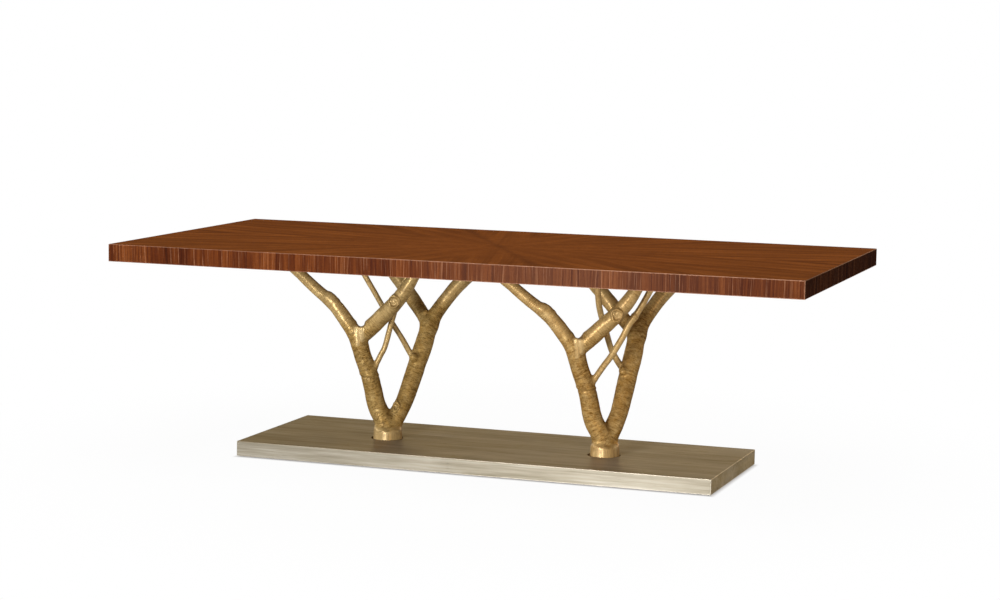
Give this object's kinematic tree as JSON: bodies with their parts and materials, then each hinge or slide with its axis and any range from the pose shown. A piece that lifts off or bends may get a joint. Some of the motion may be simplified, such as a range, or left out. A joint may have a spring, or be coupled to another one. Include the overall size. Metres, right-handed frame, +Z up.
{
  "type": "pedestal dining table",
  "caption": "Long rectangular dining table: slab top with sunburst veneer on gilded branch-shaped cast pedestals that rise from a low brushed-metal plinth.",
  "frame": {"origin": "on the floor under the centre of the top", "axes": "+X along the length of the table, +Y to its back, +Z up"},
  "size_m": [2.438, 1.168, 0.762],
  "materials": {
    "sunburst_veneer": "satin lacquered, grain running out from the centre in twelve matched leaves",
    "crossband_veneer": "satin lacquered, grain upright",
    "backing_veneer": "sealed, plain",
    "panel_board": "raw board",
    "core_timber": "planed softwood",
    "gold_leaf": "cast with a bark texture and gilded, softly burnished",
    "gilded_steel": "gilded to match the casting",
    "brushed_champagne_metal": "brushed lengthwise and tinted, satin",
    "black_steel": "matt black paint",
    "zinc_steel": "bright zinc plate",
    "insert_brass": "turned",
    "glide_nylon": "matt"
  },
  "bodies": {
    "root": {"bottom_panel_screws": "zinc_steel", "foot_nuts": "zinc_steel", "foot_tie_rods": "zinc_steel", "foot_washers": "zinc_steel", "glide_screws": "zinc_steel", "left_ballast_plate": "black_steel", "left_collar": "gold_leaf", "left_fixing_pads": "gilded_steel", "left_front_stem": "gold_leaf", "left_front_twig": "gold_leaf", "left_knotted_branch": "gold_leaf", "left_outer_branch": "gold_leaf", "left_rear_left_branch": "gold_leaf", "left_rear_right_branch": "gold_leaf", "left_rear_stem": "gold_leaf", "left_rear_twig": "gold_leaf", "pad_screws": "zinc_steel", "plinth_bottom_panel": "panel_board", "plinth_cover": "brushed_champagne_metal", "plinth_cross_rails": "core_timber", "plinth_deck_panel": "panel_board", "plinth_glides": "glide_nylon", "plinth_long_rails": "core_timber", "right_ballast_plate": "black_steel", "right_collar": "gold_leaf", "right_fixing_pads": "gilded_steel", "right_front_stem": "gold_leaf", "right_front_twig": "gold_leaf", "right_knotted_branch": "gold_leaf", "right_outer_branch": "gold_leaf", "right_rear_left_branch": "gold_leaf", "right_rear_right_branch": "gold_leaf", "right_rear_stem": "gold_leaf", "right_rear_twig": "gold_leaf", "threaded_inserts": "insert_brass", "top_backing_veneer": "backing_veneer", "top_cross_ribs": "core_timber", "top_edge_band_back": "crossband_veneer", "top_edge_band_front": "crossband_veneer", "top_edge_band_left": "crossband_veneer", "top_edge_band_right": "crossband_veneer", "top_long_ribs": "core_timber", "top_lower_panel": "panel_board", "top_rail_back": "core_timber", "top_rail_front": "core_timber", "top_rail_left": "core_timber", "top_rail_right": "core_timber", "top_upper_panel": "panel_board", "top_veneer_leaf_01": "sunburst_veneer", "top_veneer_leaf_02": "sunburst_veneer", "top_veneer_leaf_03": "sunburst_veneer", "top_veneer_leaf_04": "sunburst_veneer", "top_veneer_leaf_05": "sunburst_veneer", "top_veneer_leaf_06": "sunburst_veneer", "top_veneer_leaf_07": "sunburst_veneer", "top_veneer_leaf_08": "sunburst_veneer", "top_veneer_leaf_09": "sunburst_veneer", "top_veneer_leaf_10": "sunburst_veneer", "top_veneer_leaf_11": "sunburst_veneer", "top_veneer_leaf_12": "sunburst_veneer"}
  },
  "joints": []
}
